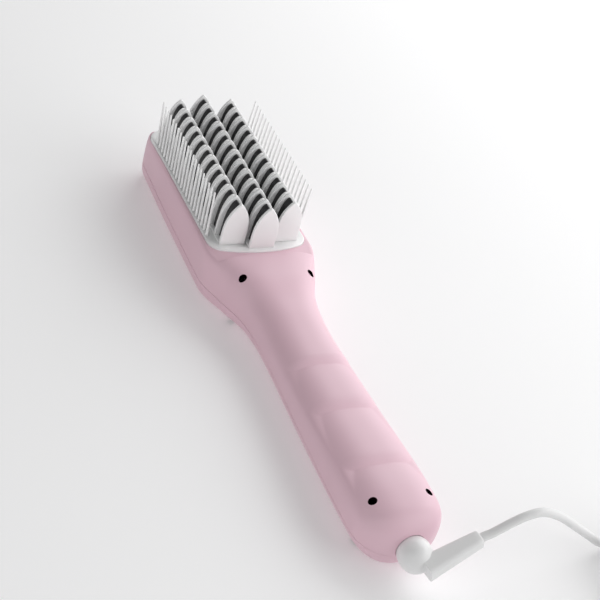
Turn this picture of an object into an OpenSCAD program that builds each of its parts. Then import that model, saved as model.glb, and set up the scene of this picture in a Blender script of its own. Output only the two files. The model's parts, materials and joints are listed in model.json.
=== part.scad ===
// Hair straightening brush lying on its back, with its mains cord.
// +Y runs to the tip of the head, +Z is the side with the teeth, and z = 0 is the back it rests on.

/* [Housing] */
// Length of the pink housing from the handle end to the tip of the head
housing_len = 262; // [250:1:275]
// How far the swivel ball stands out of the handle end
ball_out = 10; // [9:0.5:11]
// Length of the head, from its shoulders to the tip
head_len = 96; // [92:1:100]
// Width across the head at its shoulders
head_w = 53.6; // [52:0.2:56]
// Width of the head near its tip
tip_w = 49.4; // [49:0.2:51]
// Width of the neck, its narrowest place
neck_w = 31.2; // [30:0.2:33]
// Length of the grip, from the handle end to the neck
grip_len = 118; // [114:1:122]
// Widest place of the grip
grip_w = 37.4; // [36:0.2:39]
// Height of the grip at the neck
neck_h = 24.4; // [24:0.1:26]
// Height of the grip near its end
heel_h = 26.2; // [25.5:0.1:27]
// Height of the flat rim round the teeth
rim_h = 25; // [24.5:0.1:25.4]
// Height that the neck rises to where it meets the rim
shoulder_h = 28.6; // [27.5:0.1:29]
// Wall of both housing halves
wall = 2; // [1.6:0.1:2.4]
// Height of the parting line above the back
seam_z = 9; // [8.5:0.1:9.4]
// Depth of the finger grooves in the front of the grip
groove_depth = 1.8; // [1:0.1:2.2]
// Radius that rounds the tip in plan
tip_round = 14; // [12:0.5:16]
// Radius that rounds the handle end in plan
end_round = 16; // [14:0.5:17]

/* [Housing screws] */
// Diameter of the screw holes that show in the front
screw_hole_d = 4; // [3.8:0.1:4.4]
// Diameter of the screw heads
screw_head_d = 3.6; // [3.2:0.1:3.7]
// Diameter of the screw shanks
screw_shank_d = 2; // [1.8:0.1:2.2]
// Distance between the two neck screws
neck_screw_gap = 33; // [32:0.5:34]
// Distance between the two handle screws
end_screw_gap = 24.8; // [24:0.2:26]

/* [Teeth] */
// Number of heated teeth in the middle column
middle_teeth = 12; // [8:1:12]
// Pitch of the teeth along the head
tooth_pitch = 7.5; // [7:0.1:7.5]
// Distance between the three columns
column_gap = 13; // [12.6:0.1:13]
// Width of a black heated blade
blade_w = 7.8; // [7.6:0.1:8.4]
// Thickness of a black heated blade
blade_t = 3.2; // [2.8:0.1:3.4]
// Height of the blade's tip above the back
blade_top = 45.6; // [43:0.1:46]
// Width of a white guard plate
guard_w = 12.2; // [11.8:0.1:12.3]
// Height of the guard's tip above the back
guard_top = 47.5; // [46:0.1:50]
// Thickness of the guard plate on the far side of a blade
guard_far_t = 1.3; // [1:0.1:1.5]
// Thickness of the guard plate on the near side of a blade
guard_near_t = 0.8; // [0.6:0.1:1]
// Thickness of the plain fin that ends each column at the neck side
end_fin_t = 1.6; // [1.4:0.1:1.8]
// Gap between that fin and the first blade
end_gap = 1.8; // [1.5:0.1:1.9]
// Gap between a blade and its guard plates
blade_gap = 0.1; // [0.1:0.05:0.3]

/* [Needles] */
// Number of white needles along each side
needle_count = 21; // [15:1:21]
// Distance from one needle to the next
needle_pitch = 3.5; // [3.2:0.1:3.6]
// Diameter of a needle at its foot
needle_foot_d = 1.5; // [1.3:0.1:1.6]
// Diameter of a needle at its tip
needle_tip_d = 0.8; // [0.6:0.1:0.9]
// Length of a needle
needle_len = 24; // [20:0.5:24]
// How far the needles lean outwards, in degrees
needle_lean = 3; // [2:0.5:5]

/* [Frame] */
// Width of the rim on either side of the white frame that fills the head
rim_w = 2.9; // [2.8:0.1:3.4]
// Thickness of the frame's plate
frame_t = 3.1; // [2.6:0.1:3.2]
// How far the frame stands above the rim
frame_rise = 0.6; // [0.4:0.1:0.8]
// How far the frame stays from the tip of the head
frame_tip_gap = 3; // [3:0.1:4]
// How far the frame starts from the head's shoulders, towards the neck
frame_near_gap = 4.4; // [3.5:0.1:4.6]
// How far the ends of the frame bow outwards
frame_bow = 4.4; // [3.5:0.1:5]
// Corner radius of the frame
frame_corner = 7; // [6:0.5:9]
// Gap between the frame and the housing
frame_gap = 0.15; // [0.1:0.05:0.25]

/* [Heater] */
// Thickness of the aluminium heat plate
plate_t = 2.5; // [2:0.1:2.6]
// Thickness of the ceramic heaters
ptc_t = 2.4; // [2:0.1:2.5]
// Length of one ceramic heater
ptc_len = 32; // [26:1:33]
// Width of one ceramic heater
ptc_w = 24; // [20:1:28]

/* [Buttons] */
// Diameter of the power button
power_d = 9; // [8:0.1:10]
// Diameter of the plus and minus buttons
step_d = 7; // [6:0.1:8]
// Travel of a button
button_travel = 0.5; // [0.3:0.05:0.5]
// Gap round a button
button_gap = 0.2; // [0.15:0.05:0.3]
// How far the buttons sit below the back's surface
button_recess = 0.5; // [0.3:0.05:0.7]

/* [Swivel] */
// Diameter of the swivel ball
ball_d = 13.6; // [13:0.1:14]
// Diameter of the swivel's stem
stem_d = 6.4; // [6:0.1:6.6]
// Radial clearance of the stem in its bore
stem_clearance = 0.08; // [0.05:0.01:0.1]
// Height of the swivel's axis above the back
swivel_z = 13; // [12.8:0.1:13.4]
// Width of the strain relief where it leaves the ball
arm_root_w = 8.8; // [8:0.1:9]
// Width of the strain relief at its end
arm_end_w = 6.2; // [6:0.1:7]

/* [Cord] */
// Diameter of the cord
cord_d = 3.6; // [3.3:0.05:3.6]
// Inner radius of the coil's centreline
coil_in = 15; // [14:0.5:15]
// Loops in each of the coil's four layers
coil_loops = 3.125; // [2.125:1:3.125]
// Distance between neighbouring loops and layers
coil_step = 4.11; // [4.05:0.01:4.2]
// Thickness of the two ties round the coil
tie_t = 0.5; // [0.4:0.05:0.6]

/* [Plug] */
// Diameter of a plug pin
pin_d = 4; // [4:0.1:4.8]
// Length of a plug pin
pin_len = 19; // [17:0.5:19]
// Distance between the two pins
pin_gap = 19; // [18:0.5:19]
// Width of the plug
plug_w = 35; // [33:0.5:36]
// Thickness of the plug
plug_t = 14; // [13.6:0.2:14.4]
// Length of the plug's body
plug_len = 34; // [30:1:36]

/* [Hidden] */
$fn = 48;
e = 0.01;

pink = [0.91, 0.78, 0.82];
pale = [0.95, 0.95, 0.95];
soft_black = [0.1, 0.1, 0.11];
metal = [0.75, 0.76, 0.78];
brass = [0.85, 0.68, 0.35];

tip_y = (housing_len + ball_out) / 2;
end_y = tip_y - housing_len;
head_y = tip_y - head_len;
neck_y = end_y + grip_len;
shoulder_len = head_y - neck_y;
step_y = head_y - 9;

// Half-widths along the housing, as [place, half-width]
plan_points = [
    [end_y, grip_w / 2 - 0.5], [neck_y - 0.8 * grip_len, grip_w / 2],
    [neck_y - 0.38 * grip_len, (grip_w + neck_w) / 4 + 0.1], [neck_y, neck_w / 2],
    [neck_y + 0.31 * shoulder_len, neck_w / 2 + 0.1 * (head_w - neck_w) / 2],
    [neck_y + 0.62 * shoulder_len, neck_w / 2 + 0.55 * (head_w - neck_w) / 2],
    [head_y, head_w / 2], [head_y + 44, head_w / 2 - 0.6], [tip_y, tip_w / 2]
];
// Heights of the front along the housing, as [place, height]
front_points = [
    [end_y, heel_h - 0.7], [neck_y - 0.85 * grip_len, heel_h], [neck_y - 0.4 * grip_len, neck_h - 0.2],
    [neck_y - 0.08 * grip_len, neck_h], [neck_y + 0.21 * shoulder_len, neck_h + 0.8],
    [neck_y + 0.54 * shoulder_len, shoulder_h - 0.6], [head_y, shoulder_h], [tip_y, shoulder_h]
];
// Roundness of the section along the housing, as [place, exponent]
round_points = [
    [end_y, 2.5], [neck_y, 2.5], [neck_y + 0.31 * shoulder_len, 2.8],
    [neck_y + 0.62 * shoulder_len, 3.6], [head_y, 5], [tip_y, 5]
];
below_back = 0.8;

// The finger grooves, as [steep edge, soft end], at these shares of the grip
groove_shares = [0.22, 0.44, 0.71, 0.83];
grooves = [for (i = [0 : 2])
    [neck_y - grip_len * groove_shares[i], neck_y - grip_len * groove_shares[i + 1]]];
groove_edge = 3.5;
hollow = [neck_y + 4, grooves[0][0]];

frame_w = head_w - 2 * rim_w;
frame_top = rim_h + frame_rise;
frame_z = frame_top - frame_t;
frame_far_y = tip_y - frame_tip_gap;
frame_near_y = head_y - frame_near_gap;
frame_mid_y = (frame_far_y + frame_near_y) / 2;
bow_r = (frame_w * frame_w / 4 + frame_bow * frame_bow) / (2 * frame_bow);
ledge_w = 2;
ledge_t = 2.2;

columns = [-column_gap, 0, column_gap];
side_teeth = middle_teeth - 1;
strip_t = 0.8;
guard_base = frame_top + strip_t;
arch_z = 28;
slot_w = blade_w + 2 * blade_gap;
slot_t = blade_t + 2 * blade_gap;
row_t = 3;
row_z = frame_z - row_t - 0.1;
plate_z = row_z - plate_t;
ptc_z = plate_z - ptc_t;
sheet_t = 0.5;
sheet_z = ptc_z - sheet_t;
press_t = 0.8;
press_z = sheet_z - press_t;
ptc_gap = 10;
plate_w = 38;
press_w = 30;
boss_d = 5;
boss_x = 10.5;
boss_y = 42.5;
plate_len = 2 * boss_y + boss_d - 1;

needle_x = frame_w / 2 - 1.5;
needle_strip_w = 1.8;
needle_strip_t = 1;

neck_screw_y = neck_y + 0.555 * shoulder_len;
end_screw_y = end_y + 16.4;
tube_d = screw_hole_d + 2;
post_d = 5;
head_seat_z = seam_z + 3;
fit = 0.05;
screw_places = [
    [-neck_screw_gap / 2, neck_screw_y], [neck_screw_gap / 2, neck_screw_y],
    [-end_screw_gap / 2, end_screw_y], [end_screw_gap / 2, end_screw_y]
];

board_z = 8;
board_t = 1.6;
board_w = 21;
board_near = end_y + 28;
board_far = neck_y + 14;
board_post_x = 7.5;
board_posts = [
    [-board_post_x, board_near + 5], [board_post_x, board_near + 5],
    [-board_post_x, board_far - 5], [board_post_x, board_far - 5]
];

// Buttons in the back, as [place, diameter]
plus_y = neck_y;
minus_y = neck_y - 15;
power_y = neck_y - 33;
flange_over = 1;
flange_t = 1;
flange_lift = 0.2;
switch_w = 6;
switch_h = 3.5;
plunger_gap = 0.1;
button_top = wall + flange_lift + flange_t;

lens_y = neck_y - 52;
lens_w = 11;
lens_l = 4;
lens_lip = 1;
lens_gap = 0.1;

ball_r = ball_d / 2;
ball_y = end_y - ball_out + ball_r;
ball_stretch = 1.3;
dish_gap = 0.2;
stem_r = stem_d / 2;
bore_boss_d = 14;
bore_inner_y = end_y + 8;
clip_y = bore_inner_y + 0.5;
clip_t = 0.9;
clip_groove = 0.6;
ring_t = 1.2;
ring_w = 2.2;
ring_places = [clip_y + 2.5, clip_y + 6.9];
stem_end_y = clip_y + 11;
holder_w = 12;
holder_y = clip_y + 1.2;
holder_len = 9.5;
holder_z = wall + 0.6;
holder_top = swivel_z - stem_r - ring_t - 0.5;
spring_t = 0.3;
spring_gap = 0.1;

// The strain relief runs from its root in the ball to its end, where the cord comes out
arm_root = [0, -135.7, 12.4];
arm_end = [23.6, -132.5, 21.5];
arm_t = 6.4;
mouth_d = 5;
mouth_depth = 1.5;
arm_way = unit(arm_end - arm_root);

cord_r = cord_d / 2;
coil_lift = tie_t + 0.1;
coil_z = coil_lift + cord_r;
coil_turns = 4 * coil_loops;
coil_out = coil_in + coil_step * coil_loops;
entry_y = -133;
coil_x = 112;
coil_y = entry_y - coil_out;
lead_in = 4;
tail_x = coil_x - lead_in;
tail_y = coil_y - coil_out;
tail_z = coil_z + 3 * coil_step;
plug_z = plug_t / 2;
plug_neck_x = tail_x - 42;
plug_neck_len = 12;
plug_neck_d = 7;
plug_back_x = plug_neck_x - plug_neck_len;
plug_front_x = plug_back_x - plug_len;

// The cord's free stretch, from the strain relief to the floor and on to the coil
run_points = [
    arm_end - mouth_depth * arm_way, [25.4, -132.4, 22.3], [28.5, -132.6, 23.9], [34.5, -132.8, 28],
    [40.5, -133, 31.2], [48, -133, 31.9], [58, -133, 27.2], [69, -133, 19], [81, -133, 9.7],
    [87, -133, 5.2], [93, -133, 2.7], [99, -133, 2.1],
    [coil_x - lead_in - 3, entry_y, coil_z], [coil_x - lead_in, entry_y, coil_z]
];
// The cord's other end, from the top of the coil to the plug
tail_points = [
    [tail_x, tail_y, tail_z], [tail_x - 4, tail_y, tail_z], [tail_x - 14, tail_y, tail_z - 2],
    [tail_x - 26, tail_y, plug_z + 2], [tail_x - 38, tail_y, plug_z], [plug_neck_x, tail_y, plug_z]
];

function unit(v) = v / norm(v);
function clamp01(t) = min(1, max(0, t));
function smooth(t) = let (c = clamp01(t)) c * c * (3 - 2 * c);

// A smooth curve through points [place, value] that never overshoots them
function rise(p, i) = (p[i + 1][1] - p[i][1]) / (p[i + 1][0] - p[i][0]);
function slope(p, i) =
    i == 0 || i == len(p) - 1 ? 0 :
    let (a = rise(p, i - 1), b = rise(p, i))
    a * b <= 0 ? 0 : 2 * a * b / (a + b);
function curve(p, s, i = 0) =
    i < len(p) - 2 && s > p[i + 1][0] ? curve(p, s, i + 1) :
    let (w = p[i + 1][0] - p[i][0], t = clamp01((s - p[i][0]) / w))
    (1 + 2 * t) * (1 - t) ^ 2 * p[i][1] + t * (1 - t) ^ 2 * w * slope(p, i)
    + t * t * (3 - 2 * t) * p[i + 1][1] - t * t * (1 - t) * w * slope(p, i + 1);

// How much an end narrows at distance d from it, rounded over length r
function ended(d, r, n) = (1 - (1 - clamp01(max(d / r, 0.02))) ^ n) ^ (1 / n);

// Depth of the finger grooves at place y, on the middle line
function groove_at(y, g) =
    let (t = g[0] - y, len = g[0] - g[1])
    t <= 0 || t >= len ? 0 :
    t < groove_edge ? smooth(t / groove_edge) : 1 - smooth((t - groove_edge) / (len - groove_edge));
function hollow_at(y) =
    let (t = (hollow[0] - y) / (hollow[0] - hollow[1]))
    t <= 0 || t >= 1 ? 0 : 0.5 * sin(180 * t);
function dip(y) = groove_depth * max(hollow_at(y), max([for (g = grooves) groove_at(y, g)]));
// The grooves fade out towards the sides
function across(x) = smooth((17 - abs(x)) / 6);

function spow(v, p) = sign(v) * abs(v) ^ p;
// One section of the housing at place y, drawn in by inset
function section(y, inset, sides) =
    let (
        tip_d = tip_y - inset - y, end_d = y - end_y - inset,
        wide = ended(tip_d, tip_round - inset, 3) * ended(end_d, end_round - inset, 2.2),
        tall = ended(tip_d, 8 - inset, 2.5) * ended(end_d, 10 - inset, 2.2),
        w = (curve(plan_points, y) - inset) * wide,
        roof = inset > 0 && y > step_y - 4 ? min(curve(front_points, y), rim_h) : curve(front_points, y),
        sunk = inset > 0 && y < hollow[0] + 6 ? groove_depth : 0,
        front = roof - inset - sunk,
        back = inset - below_back,
        mid = (front + back) / 2,
        h = (front - back) / 2,
        outer_n = curve(round_points, y),
        n = inset > 0 ? outer_n + 1.2 * (outer_n - 2.5) : outer_n
    )
    [for (i = [0 : sides - 1])
        let (
            a = 360 * i / sides,
            x = w * spow(cos(a), 2 / n),
            z = mid + h * spow(sin(a), 2 / n),
            cut = inset == 0 && sin(a) > 0 ? dip(y) * across(x) : 0
        )
        [x, y, seam_z + tall * (max(inset, z - cut) - seam_z)]];

// A closed solid through rings of points
module skin(rings) {
    n = len(rings[0]);
    last = (len(rings) - 1) * n;
    polyhedron(
        points = [for (ring = rings) each ring],
        faces = concat(
            [[for (i = [n - 1 : -1 : 0]) i]],
            [for (k = [0 : len(rings) - 2], i = [0 : n - 1])
                let (j = (i + 1) % n) each [
                    [k * n + i, k * n + j, (k + 1) * n + j],
                    [k * n + i, (k + 1) * n + j, (k + 1) * n + i]
                ]],
            [[for (i = [0 : n - 1]) last + i]]
        )
    );
}

// Places of the sections, closer where the ends round off
function places(inset, grip_steps, head_steps, end_steps) =
    let (
        start = end_y + inset, stop = tip_y - inset, er = end_round - inset, tr = tip_round - inset
    )
    concat(
        [for (i = [0 : end_steps - 1]) start + er * (1 - cos(90 * i / end_steps))],
        [for (i = [0 : grip_steps - 1]) start + er + (head_y - start - er) * i / grip_steps],
        [for (i = [0 : head_steps - 1]) head_y + (stop - tr - head_y) * i / head_steps],
        [for (i = [0 : end_steps]) stop - tr * (1 - sin(90 * i / end_steps))]
    );

module housing_solid() {
    skin([for (y = places(0, 34, 5, 6)) section(y, 0, 32)]);
}

module housing_void() {
    difference() {
        skin([for (y = places(wall, 14, 4, 4)) section(y, wall, 32)]);
        translate([0, 0, frame_z - ledge_t]) linear_extrude(rim_h - frame_z + ledge_t)
            difference() {
                translate([-head_w, step_y + 2]) square([2 * head_w, head_len]);
                frame_outline(-ledge_w);
            }
        for (p = screw_places) {
            translate([p[0], p[1], seam_z]) cylinder(d = tube_d, h = shoulder_h);
            translate([p[0], p[1], 0]) cylinder(d = post_d, h = seam_z);
        }
        for (p = board_posts) translate([p[0], p[1], 0]) cylinder(d = post_d, h = board_z);
        swivel_axis(end_y) cylinder(d = bore_boss_d, h = bore_inner_y - end_y);
        translate([-holder_w / 2 - 0.5, holder_y - 0.5, 0]) cube([holder_w + 1, holder_len + 1, holder_z]);
    }
}

// The frame's outline in plan, grown by over
module frame_outline(over) {
    offset(delta = over) offset(r = frame_corner, $fn = 40) offset(delta = -frame_corner)
        intersection() {
            translate([-frame_w / 2, frame_near_y]) square([frame_w, frame_far_y - frame_near_y]);
            translate([0, frame_far_y - bow_r]) circle(bow_r, $fn = 90);
            translate([0, frame_near_y + bow_r]) circle(bow_r, $fn = 90);
        }
}

// Places its child on the swivel's axis at y, pointing to the head
module swivel_axis(y) {
    translate([0, y, swivel_z]) rotate([-90, 0, 0]) children();
}

// The ball with its stretch along the axis, grown by over
module ball_shape(over) {
    r = ball_r + over;
    swivel_axis(ball_y) rotate_extrude() {
        intersection() {
            union() {
                circle(r);
                translate([0, ball_stretch]) circle(r);
                translate([-r, 0]) square([2 * r, ball_stretch]);
            }
            translate([0, -2 * r]) square([r + 1, 4 * r + ball_stretch]);
        }
    }
}

module front_shell() {
    color(pink) difference() {
        housing_solid();
        translate([-head_w, end_y - 1, -1]) cube([2 * head_w, housing_len + 2, seam_z + 1]);
        housing_void();
        translate([-head_w, step_y, rim_h]) cube([2 * head_w, head_len + 20, shoulder_h]);
        translate([0, 0, frame_z]) linear_extrude(shoulder_h) frame_outline(frame_gap);
        for (p = screw_places) translate([p[0], p[1], 0]) {
            translate([0, 0, head_seat_z]) cylinder(d = screw_hole_d, h = shoulder_h);
            cylinder(d = screw_shank_d + 0.4, h = shoulder_h);
        }
        swivel_axis(end_y - 1) cylinder(r = stem_r + stem_clearance, h = bore_inner_y - end_y + 2);
        ball_shape(dish_gap);
    }
}

module back_cover() {
    color(pink) difference() {
        intersection() {
            housing_solid();
            translate([-head_w, end_y - 1, -1]) cube([2 * head_w, housing_len + 2, seam_z + 1]);
        }
        housing_void();
        for (p = screw_places) translate([p[0], p[1], wall + 1]) cylinder(d = screw_shank_d + 2 * fit, h = seam_z);
        for (p = board_posts) translate([p[0], p[1], wall + 1]) cylinder(d = 1.8, h = board_z);
        translate([0, power_y, -1]) cylinder(d = power_d + 2 * button_gap, h = wall + 2);
        translate([0, plus_y, -1]) cylinder(d = step_d + 2 * button_gap, h = wall + 2);
        translate([0, minus_y, -1]) cylinder(d = step_d + 2 * button_gap, h = wall + 2);
        translate([-lens_w / 2, lens_y - lens_l / 2, -1]) cube([lens_w, lens_l, wall + 2]);
        ball_shape(dish_gap);
    }
}

module housing_screws() {
    color(metal) for (p = screw_places) translate([p[0], p[1], 0]) difference() {
        union() {
            translate([0, 0, head_seat_z]) cylinder(d = screw_head_d, h = 2);
            translate([0, 0, wall + 1.5]) cylinder(d = screw_shank_d, h = head_seat_z - wall - 1.5);
        }
        for (a = [0, 90]) rotate([0, 0, a]) translate([-1, -0.25, head_seat_z + 1]) cube([2, 0.5, 2]);
    }
}

// Places of the teeth along one column with count teeth
function tooth_places(count) = [for (i = [0 : count - 1]) frame_mid_y + (i - (count - 1) / 2) * tooth_pitch];
function teeth_in(column) = column == 0 ? middle_teeth : side_teeth;

// Half of an arch: full width up to arch_z, then narrowing to the top; q below 1 rounds the top
function arch_side(w, top, p, q, side) =
    [for (i = [0 : 7]) let (t = i == 7 ? 1 - 0.004 / q : sqrt(i / 7.3))
        [side * w / 2 * (1 - t ^ p) ^ q, arch_z + (top - arch_z) * t]];

// A tooth plate that stands on z from and is t thick, starting at y
module tooth_plate(y, t, from, w, top, p, q) {
    right = arch_side(w, top, p, q, 1);
    left = arch_side(w, top, p, q, -1);
    translate([0, y + t, 0]) rotate([90, 0, 0]) linear_extrude(t)
        polygon(concat([[-w / 2, from], [w / 2, from]], right, [for (i = [7 : -1 : 0]) left[i]]));
}

module heater_row(column) {
    ys = tooth_places(teeth_in(column));
    half = slot_w / 2 + 0.6;
    color(soft_black) translate([columns[column + 1], 0, 0]) {
        translate([-half, ys[0] - 2, row_z]) cube([2 * half, ys[len(ys) - 1] - ys[0] + 4, row_t]);
        for (y = ys)
            tooth_plate(y - blade_t / 2, blade_t, row_z + row_t - e, blade_w, blade_top, 2.6, 0.6);
    }
}

module guard_row(column) {
    ys = tooth_places(teeth_in(column));
    last = ys[len(ys) - 1];
    near = ys[0] - slot_t / 2 - end_gap - end_fin_t;
    far = last + slot_t / 2 + guard_far_t;
    color(pale) translate([columns[column + 1], 0, 0]) {
        difference() {
            translate([-guard_w / 2, near, frame_top]) cube([guard_w, far - near + 0.5, strip_t]);
            for (y = ys) translate([-slot_w / 2, y - slot_t / 2, frame_top - 1]) cube([slot_w, slot_t, 3]);
        }
        for (y = ys) {
            guard_plate(y + slot_t / 2, guard_far_t);
            if (y > ys[0]) near_plate(y - slot_t / 2 - guard_near_t, guard_near_t);
        }
        guard_plate(near, end_fin_t);
    }
}

module guard_plate(y, t) {
    tooth_plate(y, t, guard_base - e, guard_w, guard_top, 3.3, 1);
}

// The plate before a blade has the blade's own outline, a little wider
module near_plate(y, t) {
    tooth_plate(y, t, guard_base - e, blade_w + 1, blade_top, 2.6, 0.6);
}

module comb_frame() {
    color(pale) difference() {
        union() {
            translate([0, 0, frame_z]) linear_extrude(frame_t) frame_outline(0);
            boss_places() translate([0, 0, row_z]) cylinder(d = boss_d, h = frame_z - row_z + 1);
        }
        for (c = [-1 : 1]) {
            ys = tooth_places(teeth_in(c));
            translate([columns[c + 1] - slot_w / 2, ys[0] - slot_t / 2, frame_z - 1])
                cube([slot_w, ys[len(ys) - 1] - ys[0] + slot_t, frame_t + 2]);
        }
        for (s = [-1, 1]) needle_strip(s, 0.05);
        boss_places() translate([0, 0, row_z - 1]) cylinder(d = screw_shank_d + 2 * fit, h = 5.5);
    }
}

// Puts its children at the four screws that hold the heater pack to the frame
module boss_places() {
    for (x = [-boss_x, boss_x], y = [-boss_y, boss_y]) translate([x, frame_mid_y + y, 0]) children();
}

module needle_strip(side, over) {
    half = needle_pitch * (needle_count - 1) / 2 + needle_foot_d;
    translate([side * needle_x - needle_strip_w / 2 - over, frame_mid_y - half - over, frame_top - needle_strip_t])
        cube([needle_strip_w + 2 * over, 2 * half + 2 * over, needle_strip_t + 2 * over]);
}

module needles(side) {
    color(pale) union() {
        needle_strip(side, 0);
        for (i = [0 : needle_count - 1])
            translate([side * needle_x, frame_mid_y + (i - (needle_count - 1) / 2) * needle_pitch, frame_top - 0.3])
                rotate([0, side * needle_lean, 0])
                cylinder(d1 = needle_foot_d, d2 = needle_tip_d, h = needle_len, $fn = 16);
    }
}

// A plate of the heater pack, centred on the head
module pack_plate(w, l, t, z) {
    translate([-w / 2, frame_mid_y - l / 2, z]) cube([w, l, t]);
}

module pack_holes(z, t) {
    boss_places() translate([0, 0, z - 1]) cylinder(d = screw_shank_d + 0.2, h = t + 2);
}

module heat_plate() {
    color(metal) difference() {
        intersection() {
            pack_plate(plate_w, plate_len, plate_t, plate_z);
            translate([0, 0, plate_z - 1]) linear_extrude(plate_t + 2) frame_outline(-ledge_w - 0.3);
        }
        pack_holes(plate_z, plate_t);
    }
}

module ptc_heaters() {
    color(pale) for (s = [-1, 1])
        translate([-ptc_w / 2, frame_mid_y + s * (ptc_len + ptc_gap) / 2 - ptc_len / 2, ptc_z])
            cube([ptc_w, ptc_len, ptc_t]);
}

module insulation_sheet() {
    color([0.85, 0.6, 0.2]) difference() {
        pack_plate(press_w, plate_len, sheet_t, sheet_z);
        pack_holes(sheet_z, sheet_t);
        pack_plate(18, ptc_gap - 1, 3, sheet_z - 1);
    }
}

module pressure_plate() {
    color(metal) difference() {
        pack_plate(press_w, plate_len, press_t, press_z);
        pack_holes(press_z, press_t);
        pack_plate(18, ptc_gap - 1, 3, press_z - 1);
    }
}

module heater_screws() {
    color(metal) boss_places() {
        translate([0, 0, press_z - 1.6]) cylinder(d = 4.4, h = 1.6);
        translate([0, 0, press_z]) cylinder(d = screw_shank_d, h = frame_z + 0.6 - press_z);
    }
}

module thermistor() {
    color(soft_black) translate([-3, frame_mid_y - 2.6, plate_z - 1]) rotate([0, 90, 0]) cylinder(r = 1, h = 6);
}

module thermal_fuse() {
    color(metal) translate([-5.5, frame_mid_y + 1.8, plate_z - 1.7]) rotate([0, 90, 0]) cylinder(r = 1.7, h = 11);
}

module control_board() {
    color([0.15, 0.4, 0.25]) difference() {
        translate([-board_w / 2, board_near, board_z]) cube([board_w, board_far - board_near, board_t]);
        for (p = board_posts) translate([p[0], p[1], board_z - 1]) cylinder(d = 2.2, h = 4);
    }
}

module filter_capacitor() {
    color([0.8, 0.65, 0.2]) translate([-9, neck_y - 74, board_z + board_t]) cube([18, 8, 9]);
}

module triac() {
    color(soft_black) translate([-5, neck_y - 40, board_z + board_t]) cube([10, 4.5, 9]);
}

module tact_switches() {
    color(soft_black) for (y = [plus_y, minus_y, power_y]) translate([0, y, 0]) {
        translate([-switch_w / 2, -switch_w / 2, board_z - switch_h]) cube([switch_w, switch_w, switch_h]);
        translate([0, 0, button_top + button_travel + plunger_gap])
            cylinder(d = 3.4, h = board_z - switch_h - button_top - button_travel - plunger_gap + e);
    }
}

module board_screws() {
    color(metal) for (p = board_posts) translate([p[0], p[1], 0]) {
        translate([0, 0, board_z + board_t]) cylinder(d = 3.8, h = 1.4);
        translate([0, 0, wall + 1.5]) cylinder(d = 1.6, h = board_z + board_t - wall - 1.5);
    }
}

module indicator_leds() {
    color(pale) for (i = [-2 : 2]) translate([2.1 * i - 0.8, lens_y - 0.6, board_z - 0.8]) cube([1.6, 1.2, 0.8]);
}

module indicator_lens() {
    color([0.95, 0.95, 1, 0.5]) union() {
        translate([-lens_w / 2 + lens_gap, lens_y - lens_l / 2 + lens_gap, 0.3])
            cube([lens_w - 2 * lens_gap, lens_l - 2 * lens_gap, wall]);
        translate([-lens_w / 2 - lens_lip, lens_y - lens_l / 2 - lens_lip, wall])
            cube([lens_w + 2 * lens_lip, lens_l + 2 * lens_lip, 0.8]);
        translate([-lens_w / 2 + 1, lens_y - 1, wall]) cube([lens_w - 2, 2, board_z - 1.1 - wall]);
    }
}

module button(y, d) {
    color(pale) translate([0, y, 0]) {
        translate([0, 0, button_recess]) cylinder(d = d, h = button_top - button_recess);
        translate([0, 0, wall + flange_lift]) cylinder(d = d + 2 * flange_over, h = flange_t);
    }
}

module contact_holder() {
    color(soft_black) difference() {
        translate([-holder_w / 2, holder_y, holder_z]) cube([holder_w, holder_len, holder_top - holder_z]);
        spring_strips(0.05, holder_z + 1);
    }
}

// The two strips that press on the slip rings, grown by over
module spring_strips(over, from) {
    x = stem_r + ring_t + spring_gap;
    for (i = [0, 1]) mirror([i, 0, 0])
        translate([x - over, ring_places[i] + 0.2 - over, from - over])
            cube([spring_t + 2 * over, ring_w - 0.4 + 2 * over, swivel_z + 3 - from]);
}

module contact_springs() {
    color(brass) spring_strips(0, holder_z + 1);
}

module swivel_ball() {
    color(pale) union() {
        ball_shape(0);
        difference() {
            swivel_axis(ball_y) cylinder(r = stem_r, h = stem_end_y - ball_y);
            swivel_axis(clip_y) difference() {
                cylinder(r = stem_r + 1, h = clip_t + 0.1);
                translate([0, 0, -1]) cylinder(r = stem_r - clip_groove, h = clip_t + 3);
            }
        }
    }
}

module slip_rings() {
    color(brass) for (y = ring_places) swivel_axis(y) difference() {
        cylinder(r = stem_r + ring_t, h = ring_w);
        translate([0, 0, -1]) cylinder(r = stem_r, h = ring_w + 2);
    }
}

module retaining_clip() {
    color(metal) swivel_axis(clip_y + 0.05) difference() {
        cylinder(r = stem_r + 2, h = clip_t);
        translate([0, 0, -1]) cylinder(r = stem_r - clip_groove + 0.02, h = clip_t + 2);
        translate([-stem_r + clip_groove, 0, -1]) cube([2 * (stem_r - clip_groove), stem_r + 3, clip_t + 2]);
    }
}

// Turns its child's +Z to the strain relief's direction and puts it at s along it
module along_arm(s) {
    at = arm_root + s * arm_way;
    translate(at) rotate([0, acos(arm_way[2]), atan2(arm_way[1], arm_way[0])]) children();
}

// A rounded slab across the strain relief
module arm_slab(w, t) {
    corner = 1.4;
    linear_extrude(0.4) hull()
        for (x = [-1, 1], y = [-1, 1])
            translate([x * (t / 2 - corner), y * (w / 2 - corner)]) circle(corner, $fn = 24);
}

module strain_relief() {
    length = norm(arm_end - arm_root);
    color(pale) difference() {
        hull() {
            along_arm(1) arm_slab(arm_root_w, arm_t + 1.5);
            along_arm(length - 0.4) arm_slab(arm_end_w, arm_t - 0.4);
        }
        along_arm(length - mouth_depth) cylinder(d = mouth_d, h = 5);
        ball_shape(0);
    }
}

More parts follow.
